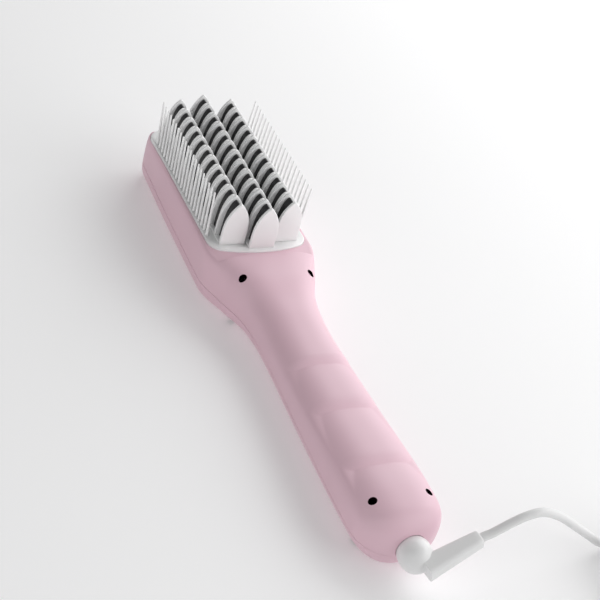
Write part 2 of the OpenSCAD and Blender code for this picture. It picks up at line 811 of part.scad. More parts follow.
module lead_wires() {
    d = 1.2;
    top = board_z + board_t + d / 2;
    near = frame_mid_y - ptc_gap / 2 - ptc_len;
    heater_z = ptc_z + ptc_t / 2;
    under = board_z - d / 2;
    color([0.7, 0.1, 0.1]) for (x = [-4, 4]) {
        tube([
            [1.4 * x, holder_y + holder_len, 5.5], [1.4 * x, holder_y + holder_len + 3, 5.5],
            [1.4 * x, board_near + 1, under], [1.4 * x, board_near + 3, under]
        ], d / 2, 8, [1, 0, 0]);
        tube([
            [x, board_far - 3, top], [x, board_far + 2, top],
            [x, frame_mid_y - plate_len / 2 - 2, heater_z], [x, near, heater_z]
        ], d / 2, 8, [1, 0, 0]);
    }
}

// A tube swept along points, with its sides turned from the direction aside
module tube(points, r, sides, aside) {
    last = len(points) - 1;
    rings = [for (i = [0 : last])
        let (
            ahead = unit(points[min(i + 1, last)] - points[max(i - 1, 0)]),
            across = unit(cross(aside, ahead)),
            up = cross(ahead, across)
        )
        [for (k = [0 : sides - 1]) let (a = 360 * k / sides) points[i] + r * (cos(a) * across + sin(a) * up)]];
    skin(rings);
}

// Points between the given ones, on a smooth line through them all
function filled(p, parts) =
    concat([for (i = [0 : len(p) - 2], k = [0 : parts - 1])
        let (
            a = p[max(i - 1, 0)], b = p[i], c = p[i + 1], d = p[min(i + 2, len(p) - 1)], t = k / parts
        )
        0.5 * (2 * b + (c - a) * t + (2 * a - 5 * b + 4 * c - d) * t ^ 2 + (3 * b - a - 3 * c + d) * t ^ 3)],
        [p[len(p) - 1]]);

module cord_run() {
    color(pale) tube(filled(run_points, 2), cord_r, 8, [0, 1, 0]);
}

module cord_tail() {
    color(pale) tube(filled(tail_points, 2), cord_r, 8, [0, 1, 0]);
}

// The coil winds in and out again by turns, and climbs a layer in the half turn where it reverses
function coil_radius(u) =
    let (t = u / coil_loops, back = floor(t) % 2 == 1, f = t - floor(t))
    coil_out - (back ? 1 - f : f) * coil_step * coil_loops;
function coil_height(u) =
    coil_z + coil_step * (smooth(2 * (u - coil_loops) + 0.5) + smooth(2 * (u - 2 * coil_loops) + 0.5)
    + smooth(2 * (u - 3 * coil_loops) + 0.5));
function coil_point(u) =
    let (a = 90 - 360 * u) [coil_x + coil_radius(u) * cos(a), coil_y + coil_radius(u) * sin(a), coil_height(u)];
coil_points = concat(
    [[coil_x - lead_in, entry_y, coil_z]],
    [for (i = [0 : 24 * coil_turns]) coil_point(i / 24)],
    [[tail_x, tail_y, tail_z]]
);

// The least distance between turns, each measured against the later ones near the same angle
coil_self_gap = min([for (i = [0 : 48 * coil_turns - 44], k = [1 : coil_turns + 1], j = [-3 : 3])
    let (v = i / 48 + k + j / 96) if (v <= coil_turns) norm(coil_point(i / 48) - coil_point(v)) - cord_d]);

module cord_coil() {
    echo(least_gap_in_coil = coil_self_gap);
    color(pale) tube(coil_points, cord_r, 6, [0, 0, 1]);
}

module cord_ties() {
    room = 0.1;
    inner = coil_in - cord_r - room;
    width = coil_out - coil_in + cord_d + 2 * room;
    height = 3 * coil_step + cord_d + 2 * room;
    color(soft_black) for (a = [0, 180]) translate([coil_x, coil_y, 0]) rotate([0, 0, a + 45]) difference() {
        translate([inner - tie_t, -2, 0]) cube([width + 2 * tie_t, 4, height + 2 * tie_t]);
        translate([inner, -3, tie_t]) cube([width, 6, height]);
    }
}

// Turns the plug's own length, drawn along y, to run along x beside the coil
module at_plug() {
    translate([0, tail_y, 0]) rotate([0, 0, -90]) children();
}

module plug_body() {
    color(pale) at_plug() {
        linear_extrude(plug_t) hull() {
            for (s = [-1, 1]) {
                translate([s * (plug_w / 2 - 5), plug_front_x + 5]) circle(5, $fn = 32);
                translate([s * (plug_w / 2 - 11), plug_back_x - 4]) circle(4, $fn = 32);
            }
            translate([-plug_w / 2 + 2, plug_front_x]) square([plug_w - 4, 1]);
        }
        translate([0, plug_back_x - 2, plug_z]) rotate([-90, 0, 0]) cylinder(d = plug_neck_d, h = plug_neck_len + 2);
    }
}

module plug_pins() {
    color(metal) at_plug() for (s = [-1, 1])
        translate([s * pin_gap / 2, plug_front_x, plug_z]) rotate([90, 0, 0]) {
            cylinder(d = pin_d, h = pin_len - 1);
            translate([0, 0, pin_len - 1]) cylinder(d1 = pin_d, d2 = pin_d - 1.2, h = 1);
        }
}

front_shell();
back_cover();
comb_frame();
guard_row(-1);  // left_guard_row
guard_row(0);  // middle_guard_row
guard_row(1);  // right_guard_row
heater_row(-1);  // left_heater_row
heater_row(0);  // middle_heater_row
heater_row(1);  // right_heater_row
needles(-1);  // left_needles
needles(1);  // right_needles
heat_plate();
ptc_heaters();
insulation_sheet();
pressure_plate();
heater_screws();
thermistor();
thermal_fuse();
control_board();
filter_capacitor();
triac();
tact_switches();
board_screws();
indicator_leds();
indicator_lens();
button(power_y, power_d);  // power_button
button(plus_y, step_d);  // plus_button
button(minus_y, step_d);  // minus_button
housing_screws();
contact_holder();
contact_springs();
swivel_ball();
slip_rings();
retaining_clip();
strain_relief();
lead_wires();
cord_run();
cord_coil();
cord_tail();
cord_ties();
plug_body();
plug_pins();
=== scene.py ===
import json
import math
import bpy
import numpy as np
from mathutils import Matrix, Vector


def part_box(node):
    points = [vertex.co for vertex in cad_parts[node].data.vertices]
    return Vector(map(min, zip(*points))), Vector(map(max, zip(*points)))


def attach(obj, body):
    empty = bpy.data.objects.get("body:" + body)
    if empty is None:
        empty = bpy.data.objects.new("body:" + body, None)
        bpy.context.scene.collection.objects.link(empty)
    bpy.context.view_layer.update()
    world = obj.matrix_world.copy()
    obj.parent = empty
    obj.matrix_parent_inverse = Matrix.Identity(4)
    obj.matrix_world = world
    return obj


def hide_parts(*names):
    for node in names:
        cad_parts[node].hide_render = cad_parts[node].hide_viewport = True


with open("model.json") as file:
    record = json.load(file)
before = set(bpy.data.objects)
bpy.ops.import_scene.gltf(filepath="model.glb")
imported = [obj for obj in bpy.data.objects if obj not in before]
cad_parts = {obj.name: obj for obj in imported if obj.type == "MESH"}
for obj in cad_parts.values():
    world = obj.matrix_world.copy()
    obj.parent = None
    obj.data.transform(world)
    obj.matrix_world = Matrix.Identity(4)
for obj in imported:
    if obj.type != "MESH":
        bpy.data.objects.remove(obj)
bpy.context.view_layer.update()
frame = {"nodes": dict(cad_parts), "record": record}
mm = 0.001  # every size below is in millimetres; meshes are made in metres
print("frame loaded:", len(frame["nodes"]), "nodes")


# Lowest and highest corner of a CAD node, in millimetres
def nodeBox(node):
    low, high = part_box(node)
    return np.array(low) / mm, np.array(high) / mm


# 0 below 0, 1 above 1, and a smooth step between
def smooth(t):
    t = np.clip(t, 0, 1)
    return t * t * (3 - 2 * t)


# The smaller (sharp > 0) or larger (sharp < 0) of a and b, rounded where they cross
def softPick(a, b, radius, sharp=1):
    return (a + b - sharp * np.sqrt((a - b) ** 2 + radius ** 2)) / 2


# A line through points [place, value] that never overshoots: cubic pieces, each inner slope the
# harmonic mean of its neighbours, and level at both ends
def curve(points, s):
    x, v = np.array(points, float).T
    rise = np.diff(v) / np.diff(x)
    slope = np.zeros(len(x))
    before, after = rise[:-1], rise[1:]
    same = before * after > 0
    slope[1:-1][same] = 2 * before[same] * after[same] / (before[same] + after[same])
    i = np.clip(np.searchsorted(x, s) - 1, 0, len(x) - 2)
    w = x[i + 1] - x[i]
    t = np.clip((s - x[i]) / w, 0, 1)
    ends = (1 + 2 * t) * (1 - t) ** 2 * v[i] + t * t * (3 - 2 * t) * v[i + 1]
    return ends + t * (1 - t) ** 2 * w * slope[i] - t * t * (1 - t) * w * slope[i + 1]


# Quads of a grid of points with the given rows and columns, counted from first
def gridFaces(rows, cols, first=0, closed=False, flip=False):
    r, c = np.meshgrid(np.arange(rows - 1), np.arange(cols if closed else cols - 1), indexing="ij")
    r, c = r.ravel(), c.ravel()
    d = (c + 1) % cols
    quads = np.stack([r * cols + c, r * cols + d, (r + 1) * cols + d, (r + 1) * cols + c], 1) + first
    return (quads[:, ::-1] if flip else quads).tolist()


# A mesh object from points in millimetres; near points are merged and edges over the angle stay sharp
def addPiece(name, points, faces, angle=35):
    mesh = bpy.data.meshes.new(name)
    mesh.from_pydata((np.asarray(points).reshape(-1, 3) * mm).tolist(), [], faces)
    piece = bpy.data.objects.new(name, mesh)
    bpy.context.scene.collection.objects.link(piece)
    weld = piece.modifiers.new("weld", "WELD")
    weld.merge_threshold = 1e-7
    return shade(applied(piece), angle)


# Bakes a piece's modifiers into its mesh
def applied(piece):
    shown = piece.evaluated_get(bpy.context.evaluated_depsgraph_get())
    old, piece.data = piece.data, bpy.data.meshes.new_from_object(shown)
    piece.modifiers.clear()
    bpy.data.meshes.remove(old)
    piece.data.name = piece.name
    return piece


def shade(piece, angle=35):
    piece.data.shade_smooth()
    piece.data.set_sharp_from_angle(angle=math.radians(angle))
    return piece


# Cuts the tool out of the piece, or with "UNION" joins it on, and removes the tool
def carve(piece, tool, operation="DIFFERENCE"):
    cut = piece.modifiers.new("carve", "BOOLEAN")
    cut.operation = operation
    cut.solver = "EXACT"
    cut.object = tool
    applied(piece)
    bpy.data.objects.remove(tool)
    return piece


# A closed skin through rings of points [ring, point, xyz]; the end rings are filled flat
def loft(rings):
    rings = np.asarray(rings, float)
    count, around = rings.shape[:2]
    faces = gridFaces(count, around, closed=True)
    faces += [list(range(around - 1, -1, -1)), list(range((count - 1) * around, count * around))]
    return rings.reshape(-1, 3), faces


# Several (points, faces) as one
def joined(parts):
    points, faces, first = [], [], 0
    for some, theirs in parts:
        points.append(some)
        faces += [[first + i for i in face] for face in theirs]
        first += len(some)
    return np.concatenate(points), faces


# A body turned about an axis through centre: profile is [radius, height] from one end to the other
def turned(profile, centre, axis=(0, 0, 1), sides=64):
    profile = np.array(profile, float)
    axis = np.array(axis, float) / np.linalg.norm(axis)
    aside = np.cross(axis, [1, 0, 0] if abs(axis[0]) < 0.9 else [0, 1, 0])
    aside /= np.linalg.norm(aside)
    other = np.cross(axis, aside)
    a = np.linspace(0, 2 * math.pi, sides, endpoint=False)
    outward = np.cos(a)[:, None] * aside + np.sin(a)[:, None] * other
    rings = profile[:, None, :1] * outward + profile[:, None, 1:] * axis + np.array(centre, float)
    return loft(rings)


# A block with square edges, between two corners
def block(low, high):
    (x0, y0, z0), (x1, y1, z1) = low, high
    return loft([[[x0, y0, z], [x1, y0, z], [x1, y1, z], [x0, y1, z]] for z in (z0, z1)])


# A flat rectangle, half to either side of x and from near to far along Y
def rectangle(x, half, near, far):
    return np.array([[x - half, near], [x + half, near], [x + half, far], [x - half, far]])


# A flat outline [point, xy] of a convex shape, drawn in by inset along its own normals
def drawnIn(outline, inset):
    ahead = np.roll(outline, -1, 0) - outline
    behind = outline - np.roll(outline, 1, 0)
    ahead /= np.linalg.norm(ahead, axis=1)[:, None]
    behind /= np.linalg.norm(behind, axis=1)[:, None]
    along = ahead + behind
    along /= np.linalg.norm(along, axis=1)[:, None]
    inward = np.stack([-along[:, 1], along[:, 0]], 1)
    square = np.maximum(np.abs(np.sum(inward * np.stack([-ahead[:, 1], ahead[:, 0]], 1), 1)), 0.35)
    return outline + inward * (inset / square)[:, None]


# Rounded rims for a slab from 0 to thickness: [inset, height] pairs, with a narrow flat beside each rim
def rimSteps(thickness, radius, steps=3):
    a = np.linspace(0, math.pi / 2, steps + 1)
    lower = [[radius * 1.25, 0]] + [[radius * (1 - math.sin(t)), radius * (1 - math.cos(t))] for t in a]
    return lower + [[inset, thickness - height] for inset, height in lower[::-1]]


# A slab of an outline [point, xy] from one height to another, with rounded rims
def slab(outline, low, high, radius):
    rings = []
    for inset, height in rimSteps(high - low, radius):
        flat = drawnIn(outline, inset)
        rings.append(np.column_stack([flat, np.full(len(flat), low + height)]))
    return loft(rings)


# Camera, fitted to the photograph
cameraFit = {
    "place": (-260.3, -387.1, 388.4),
    "up": (0.0726, 0.6533, 0.7536),
    "towardViewer": (-0.4449, -0.6550, 0.6107),
    "lens": 82.7,
    "sensor": 36,
}
back = Vector(cameraFit["towardViewer"]).normalized()
right = Vector(cameraFit["up"]).cross(back).normalized()
camera = bpy.data.objects.new("camera", bpy.data.cameras.new("camera"))
camera.data.lens = cameraFit["lens"]
camera.data.sensor_width = cameraFit["sensor"]
camera.matrix_world = Matrix((right, back.cross(right), back)).transposed().to_4x4()
camera.location = Vector(cameraFit["place"]) * mm
bpy.context.scene.collection.objects.link(camera)
bpy.context.scene.camera = camera
print("camera set")


# A wrapped socket: + - * and ** on it add Math nodes
class Value:
    def __init__(self, finish, socket):
        self.finish = finish
        self.socket = socket

    def math(self, operation, first, second):
        return self.finish.value("ShaderNodeMath", {"operation": operation}, {0: first, 1: second})

    def __add__(self, other):
        return self.math("ADD", self, other)

    def __radd__(self, other):
        return self.math("ADD", other, self)

    def __sub__(self, other):
        return self.math("SUBTRACT", self, other)

    def __rsub__(self, other):
        return self.math("SUBTRACT", other, self)

    def __mul__(self, other):
        return self.math("MULTIPLY", self, other)

    def __rmul__(self, other):
        return self.math("MULTIPLY", other, self)

    def __pow__(self, other):
        return self.math("POWER", self, other)

    def clamped(self):
        return self.finish.value("ShaderNodeClamp", {}, {"Value": self})


# A material under construction: its shader's constants are set on the shader's own sockets
class Finish:
    def __init__(self, name, **constants):
        self.material = bpy.data.materials.new(name)
        self.material.use_nodes = True
        self.tree = self.material.node_tree
        self.tree.nodes.clear()
        self.shader = self.node("ShaderNodeBsdfPrincipled", {}, constants)
        output = self.node("ShaderNodeOutputMaterial", {}, {})
        self.tree.links.new(self.shader.outputs[0], output.inputs[0])
        self.place = self.value("ShaderNodeTexCoord", {}, {}, "Object")

    # Any node: settings first, then values or links for its sockets
    def node(self, kind, settings, inputs):
        made = self.tree.nodes.new(kind)
        for key, setting in settings.items():
            setattr(made, key, setting)
        for key, given in inputs.items():
            self.feed(made.inputs[key], given)
        return made

    def feed(self, socket, given):
        if isinstance(given, Value):
            self.tree.links.new(given.socket, socket)
        else:
            socket.default_value = given

    def value(self, kind, settings, inputs, output=0):
        return Value(self, self.node(kind, settings, inputs).outputs[output])

    def noise(self, scale, detail, stretch=(1, 1, 1)):
        at = self.value("ShaderNodeMapping", {}, {"Vector": self.place, "Scale": stretch})
        return self.value("ShaderNodeTexNoise", {}, {"Vector": at, "Scale": scale, "Detail": detail})

    def axis(self, name):
        return self.value("ShaderNodeSeparateXYZ", {}, {0: self.place}, name)

    def mixed(self, share, first, second):
        settings = {"data_type": "RGBA"}
        return self.value("ShaderNodeMix", settings, {0: share, 6: first, 7: second}, 2)

    def bump(self, height, strength, distance):
        inputs = {"Height": height, "Strength": strength, "Distance": distance}
        self.feed(self.shader.inputs["Normal"], self.value("ShaderNodeBump", {}, inputs))

    def set(self, **links):
        for key, given in links.items():
            self.feed(self.shader.inputs[key.replace("_", " ")], given)


def shaded(colour, by):
    return tuple(c * by for c in colour[:3]) + (1.0,)


plastic = {"toneScale": 38, "drift": 0.03, "grainScale": 5200, "grain": 0.12, "grainDepth": 0.03}


# Moulded plastic: a satin surface with a fine grain. Returns its colour, which drifts over centimetres
def mouldedColour(finish, colour, roughness, grain, drift):
    tone = finish.noise(plastic["toneScale"], detail=2)
    fine = finish.noise(plastic["grainScale"], detail=3)
    finish.set(Roughness=roughness - 0.04 + 0.05 * tone + 0.03 * fine)
    finish.bump(fine, grain, plastic["grainDepth"] * mm)
    return finish.mixed(tone, shaded(colour, 1 - drift), shaded(colour, 1 + drift))


def mouldedPlastic(name, colour, roughness, grain=plastic["grain"], **constants):
    finish = Finish(name, **constants)
    finish.set(Base_Color=mouldedColour(finish, colour, roughness, grain, plastic["drift"]))
    return finish.material


# The housing's pink, and a deep maroon painted as shade inside the screw holes, of which the right-hand
# ones are given
pink = {
    "colour": (0.81, 0.555, 0.637),
    "roughness": 0.46,
    "drift": 0.025,
    "grain": 0.1,
    "paintedShadeColour": (0.012, 0.001, 0.004, 1),
    "holes": ((16.5, 18.835), (12.4, -109.162)),
    "holeRadius": 1.68,
    "edgeWidth": 0.025,
}


def pinkPlastic():
    finish = Finish("pinkHousing")
    x, y = finish.axis("X"), finish.axis("Y")
    across = finish.value("ShaderNodeMath", {"operation": "ABSOLUTE"}, {0: x})
    # Mask of the painted shade: 1 inside each screw hole, with a soft edge
    inside, steepness = 0.0, 1 / (pink["edgeWidth"] * mm)
    for holeX, holeY in pink["holes"]:
        away = ((across - holeX * mm) ** 2.0 + (y - holeY * mm) ** 2.0) ** 0.5
        inside = inside + ((pink["holeRadius"] * mm - away) * steepness).clamped()
    colour = mouldedColour(finish, pink["colour"], pink["roughness"], pink["grain"], pink["drift"])
    # Painted shade: inside the screw holes the colour turns deep maroon and metallic, so that they read
    # dark
    finish.set(Base_Color=finish.mixed(inside, colour, pink["paintedShadeColour"]), Metallic=inside)
    return finish.material


# Brushed metal: long streaks across the piece that change the tone and the roughness
def brushedMetal(name, colour, roughness):
    finish = Finish(name, Metallic=1.0)
    streak = finish.noise(900, detail=4, stretch=(1, 0.04, 1))
    finish.set(Base_Color=finish.mixed(streak, shaded(colour, 0.92), shaded(colour, 1.04)))
    finish.set(Roughness=roughness - 0.06 + 0.14 * streak)
    finish.bump(streak, 0.1, 0.02 * mm)
    return finish.material


# Black ceramic coating: nearly black, with a mottled sheen
def ceramicCoating(name):
    finish = Finish(name, **{"Specular IOR Level": 0.45})
    mottle = finish.noise(1400, detail=4)
    finish.set(Base_Color=finish.mixed(mottle, (0.009, 0.009, 0.01, 1), (0.018, 0.018, 0.02, 1)))
    finish.set(Roughness=0.34 + 0.14 * mottle)
    finish.bump(mottle, 0.15, 0.03 * mm)
    return finish.material


# Green lacquer on the board, with copper tracks showing through as lighter bands
def boardLacquer(name):
    finish = Finish(name, **{"Coat Weight": 0.3})
    bands = {"Scale": 110, "Distortion": 3.0, "Detail": 1.0, "Detail Scale": 0.4}
    inputs = {"Vector": finish.place, **bands}
    waves = finish.value("ShaderNodeTexWave", {"bands_direction": "X"}, inputs, "Fac")
    tracks = ((waves - 0.62) * 9).clamped()
    finish.set(Base_Color=finish.mixed(tracks, (0.015, 0.09, 0.04, 1), (0.04, 0.19, 0.08, 1)))
    finish.set(Roughness=0.35 + 0.1 * tracks)
    finish.bump(tracks, 0.3, 0.05 * mm)
    return finish.material


translucent = {"Subsurface Weight": 0.4, "Subsurface Radius": (1, 1, 1), "Subsurface Scale": 2 * mm}
seeThrough = {"Transmission Weight": 0.85, "IOR": 1.49}
finishes = {
    "pink_housing": pinkPlastic(),
    "white_plastic": mouldedPlastic("whitePlastic", (0.94, 0.94, 0.94), 0.36, **translucent),
    "white_needles": mouldedPlastic("whiteNeedles", (0.95, 0.95, 0.95), 0.3, grain=0.05, **translucent),
    "black_teeth": ceramicCoating("blackCeramic"),
    "aluminium_plate": brushedMetal("rolledAluminium", (0.76, 0.77, 0.79), 0.34),
    "ceramic": mouldedPlastic("heaterCeramic", (0.72, 0.70, 0.66), 0.6, grain=0.4),
    "insulation": mouldedPlastic("insulationFilm", (0.55, 0.27, 0.05), 0.3),
    "steel": brushedMetal("zincSteel", (0.60, 0.60, 0.61), 0.32),
    "board_green": boardLacquer("boardGreen"),
    "yellow_film": mouldedPlastic("capacitorYellow", (0.66, 0.42, 0.04), 0.35),
    "black_plastic": mouldedPlastic("blackPlastic", (0.02, 0.02, 0.02), 0.45, grain=0.3),
    "brass": brushedMetal("brass", (0.74, 0.54, 0.24), 0.3),
    "led_body": mouldedPlastic("ledBody", (0.75, 0.74, 0.66), 0.25),
    "white_buttons": mouldedPlastic("whiteButtons", (0.84, 0.84, 0.84), 0.25),
    "swivel_white": mouldedPlastic("swivelWhite", (0.86, 0.86, 0.86), 0.3),
    "soft_white": mouldedPlastic("softWhite", (0.80, 0.80, 0.80), 0.5, grain=0.3),
    "wire_red": mouldedPlastic("wireRed", (0.35, 0.02, 0.02), 0.4),
    "tie_black": mouldedPlastic("tieBlack", (0.02, 0.02, 0.02), 0.5, grain=0.4),
    "pin_metal": brushedMetal("nickelPins", (0.74, 0.73, 0.71), 0.22),
    "clear_lens": mouldedPlastic("clearLens", (0.93, 0.94, 0.96), 0.12, grain=0.02, **seeThrough),
}


# Gives a piece its finish, the body it moves with and the CAD nodes that it stands for
def dress(piece, slot, body, *nodes):
    piece.data.materials.clear()
    piece.data.materials.append(finishes[slot])
    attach(piece, body)
    if nodes:
        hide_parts(*nodes)
    return piece


for node, shown in frame["nodes"].items():
    slotName = next(s["material_slot"] for s in frame["record"]["subparts"] if s["node"] == node)
    shown.data.materials.clear()
    shown.data.materials.append(finishes[slotName])
print("materials made:", len(finishes))


# Cord: out of the strain relief, in a low arch to the floor, into the coil, and on to the plug. Its lead-in
# gives distances before the coil, and its tail gives distances past it with heights over the coil's end and
# then over the plug's axis
cordSizes = {
    "diameter": 3.6,
    "run": [
        (25.4, -132.4, 22.3), (28.5, -132.6, 23.9), (34.5, -132.8, 28), (40.5, -133, 31.2),
        (48, -133, 31.9), (58, -133, 27.2), (69, -133, 19), (81, -133, 9.7),
        (87, -133, 5.2), (93, -133, 2.7), (99, -133, 2.1),
    ],
    "armRoot": (0, -135.7, 12.4),
    "armEnd": (23.6, -132.5, 21.5),
    "mouthDepth": 1.5,
    "coilX": 112,
    "coilIn": 15,
    "layers": 4,
    "loopsALayer": 3.125,
    "step": 4.11,
    "lift": 0.6,
    "entryY": -133,
    "leadIn": (7, 4),
    "tailStart": ((4, 0), (8, 0), (18, -2)),
    "tailEnd": ((30, 2), (42, 0), (46, 0)),
    "plugAxisZ": 7,
    "sides": 16,
    "turnSteps": 36,
    "spanSteps": 6,
}
armRoot, armEnd = np.array(cordSizes["armRoot"], float), np.array(cordSizes["armEnd"], float)
armLength = np.linalg.norm(armEnd - armRoot)
armWay = (armEnd - armRoot) / armLength


# Points on a smooth line through the given ones: cubic pieces, whose tangent at each point is half the
# difference between its neighbours
def filled(points, parts):
    p = np.array(points, float)
    p = np.concatenate([p[:1], p, p[-1:]])
    t = np.linspace(0, 1, parts, endpoint=False)[None, :, None]
    a, b, c, d = (p[i:len(p) - 3 + i, None] for i in range(4))
    spans = 2 * b + (c - a) * t + (2 * a - 5 * b + 4 * c - d) * t ** 2 + (3 * b - a - 3 * c + d) * t ** 3
    return np.concatenate([0.5 * spans.reshape(-1, 3), p[-1:]])


# The coil: a spiral that runs in and out again by turns, one way in each layer, and climbs a layer in the
# half turn where it reverses
def coilPoints(s):
    u = np.arange(int(s["layers"] * s["loopsALayer"] * s["turnSteps"]) + 1) / s["turnSteps"]
    layer = u / s["loopsALayer"]
    part = layer - np.floor(layer)
    part = np.where(np.floor(layer) % 2 == 1, 1 - part, part)
    radius = s["coilIn"] + s["step"] * s["loopsALayer"] * (1 - part)
    climbs = sum(smooth(2 * (u - k * s["loopsALayer"]) + 0.5) for k in range(1, s["layers"]))
    height = s["lift"] + s["diameter"] / 2 + s["step"] * climbs
    a = math.pi / 2 - 2 * math.pi * u
    middleY = s["entryY"] - s["coilIn"] - s["step"] * s["loopsALayer"]
    return np.stack([s["coilX"] + radius * np.cos(a), middleY + radius * np.sin(a), height], 1)


# Rings of a tube along a path: each stands square to it, turned as little as can be from the one before
def tubeRings(path, radius, sides):
    path = np.asarray(path, float)
    ahead = np.gradient(path, axis=0)
    ahead /= np.linalg.norm(ahead, axis=1)[:, None]
    side = np.zeros_like(path)
    side[0] = np.cross(ahead[0], [0, 0, 1])
    for i in range(1, len(path)):
        side[i] = side[i - 1] - ahead[i] * np.dot(side[i - 1], ahead[i])
        side[i] /= np.linalg.norm(side[i])
    side[0] /= np.linalg.norm(side[0])
    up = np.cross(side, ahead)
    a = np.linspace(0, 2 * math.pi, sides, endpoint=False)[None, :, None]
    radius = np.broadcast_to(radius, len(path))[:, None, None]
    return path[:, None] - radius * (np.cos(a) * side[:, None] - np.sin(a) * up[:, None])


def makeCord(s):
    coil = coilPoints(s)
    floorZ = s["lift"] + s["diameter"] / 2
    run = [armEnd - s["mouthDepth"] * armWay, *s["run"]]
    run += [(s["coilX"] - back, s["entryY"], floorZ) for back in s["leadIn"]]
    run = filled([*run, coil[0]], s["spanSteps"])
    lastX, lastY, lastZ = coil[-1]
    tail = [(lastX - along, lastY, lastZ + up) for along, up in s["tailStart"]]
    tail += [(lastX - along, lastY, s["plugAxisZ"] + up) for along, up in s["tailEnd"]]
    tail = filled([coil[-1], *tail], s["spanSteps"])
    path = np.concatenate([run[:-1], coil[:-1], tail])
    points, faces = loft(tubeRings(path, s["diameter"] / 2, s["sides"]))
    return addPiece("cordFlex", points, faces, 60), path


cordFlex, cordPath = makeCord(cordSizes)
dress(cordFlex, "soft_white", "cord_swivel", "cord_run", "cord_coil", "cord_tail")


# Housing: both halves follow one set of sections along Y, as [place, value] points
housingSizes = {
    "headLength": 96,
    "gripLength": 118,
    "headWidth": 53.6,
    "tipWidth": 49.4,
    "neckWidth": 31.2,
    "gripWidth": 37.4,
    "neckHeight": 24.4,
    "heelHeight": 26.2,
    "shoulderHeight": 28.6,
    "rimHeight": 25,
    "belowBack": 0.8,
    "wall": 2,
    "seamZ": 9,
    "seamGap": 0.07,
    "seamBevel": 0.18,
    "tipRound": 14,
    "endRound": 16,
    "tipRise": 8,
    "endRise": 10,
    "stepAhead": 9,
    "grooves": [0.22, 0.44, 0.71, 0.83],
    "grooveDepth": 1.8,
    "grooveLip": 6,
    "grooveSideX": 16.4,
    "grooveSideSlope": 0.4,
    "grooveBlend": 0.2,
    "hollowFrom": 4,
    "hollowShare": 0.35,
    "ridgeX": 16.4,
    "ridgeHeight": 0.25,
    "ridgeSpread": 1.7,
    "ridgeFrom": 22,
    "ridgeFades": (14, 12),
    "ridgeReach": 0.86,
    "gripSquareness": 2.5,
    "innerSquareness": 1.2,
    "endPower": 2.2,
    "tipPower": 3,
    "tipRisePower": 2.5,
    "stepRise": 12,
    "stepRun": 1.6,
    "stepStart": 0.3,
    "edgeBlend": 0.5,
    "innerRoofAhead": 4,
    "innerFloorTo": 10,
    "frontColumns": 120,
    "backColumns": 72,
    "endRows": 22,
    "bodyRows": 168,
    "grooveRows": 14,
    "stepRows": 12,
    "leastRowGap": 0.12,
    "sharpAngle": 28,
}
shellLow, shellHigh = nodeBox("front_shell")
endY, tipY = shellLow[1], shellHigh[1]
headY = tipY - housingSizes["headLength"]
neckY = endY + housingSizes["gripLength"]
shoulderLength = headY - neckY
stepY = headY - housingSizes["stepAhead"]
s = housingSizes
grip = s["gripLength"]
halfGrip, halfNeck, halfHead = s["gripWidth"] / 2, s["neckWidth"] / 2, s["headWidth"] / 2
planPoints = [
    (endY, halfGrip - 0.5), (neckY - 0.8 * grip, halfGrip),
    (neckY - 0.38 * grip, (halfGrip + halfNeck) / 2 + 0.1), (neckY, halfNeck),
    (neckY + 0.31 * shoulderLength, halfNeck + 0.1 * (halfHead - halfNeck)),
    (neckY + 0.62 * shoulderLength, halfNeck + 0.55 * (halfHead - halfNeck)),
    (headY, halfHead), (headY + 44, halfHead - 0.6), (tipY, s["tipWidth"] / 2),
]
frontPoints = [
    (endY, s["heelHeight"] - 0.7), (neckY - 0.85 * grip, s["heelHeight"]),
    (neckY - 0.4 * grip, s["neckHeight"] - 0.2), (neckY - 0.08 * grip, s["neckHeight"]),
    (neckY + 0.21 * shoulderLength, s["neckHeight"] + 0.8),
    (neckY + 0.54 * shoulderLength, s["shoulderHeight"] - 0.6),
    (headY, s["shoulderHeight"]), (tipY, s["shoulderHeight"]),
]
squarenessPoints = [
    (endY, s["gripSquareness"]), (neckY, s["gripSquareness"]), (neckY + 0.31 * shoulderLength, 2.8),
    (neckY + 0.62 * shoulderLength, 3.6), (headY, 5), (tipY, 5),
]
grooveEnds = [(neckY - grip * a, neckY - grip * b) for a, b in zip(s["grooves"][:-1], s["grooves"][1:])]


# Share of the full size at a distance from an end that is rounded over a length: (1 - (1 - d/l)^n)^(1/n)
def ended(distance, length, n):
    return (1 - (1 - np.clip(distance / length, 0, 1)) ** n) ** (1 / n)


# Depth of the finger grooves at (x, y): a lip bends down ever faster, share^2, to a corner, and the floor
# rises from there ever more slowly, (1 - t)^1.6. A long shallow hollow comes before the first, and none of
# them goes deeper than an even slope that starts at each side
def grooveDepth(x, y):
    depth = np.zeros_like(x)
    for near, far in grooveEnds:
        corner = near - 1
        t = np.clip((corner - y) / (corner - far + 1), 0, 1)
        lip = np.clip((corner + s["grooveLip"] - y) / s["grooveLip"], 0, 1) ** 2 * (y > corner)
        depth = depth + lip + (1 - t) ** 1.6 * (y <= corner)
    hollowY = neckY + s["hollowFrom"]
    t = np.clip((hollowY - y) / (hollowY - grooveEnds[0][0]), 0, 1)
    depth = s["grooveDepth"] * np.maximum(depth, s["hollowShare"] * np.sin(np.pi * t))
    side = s["grooveSideSlope"] * (s["grooveSideX"] - np.abs(x))
    return np.maximum(softPick(depth, side, s["grooveBlend"]), 0)


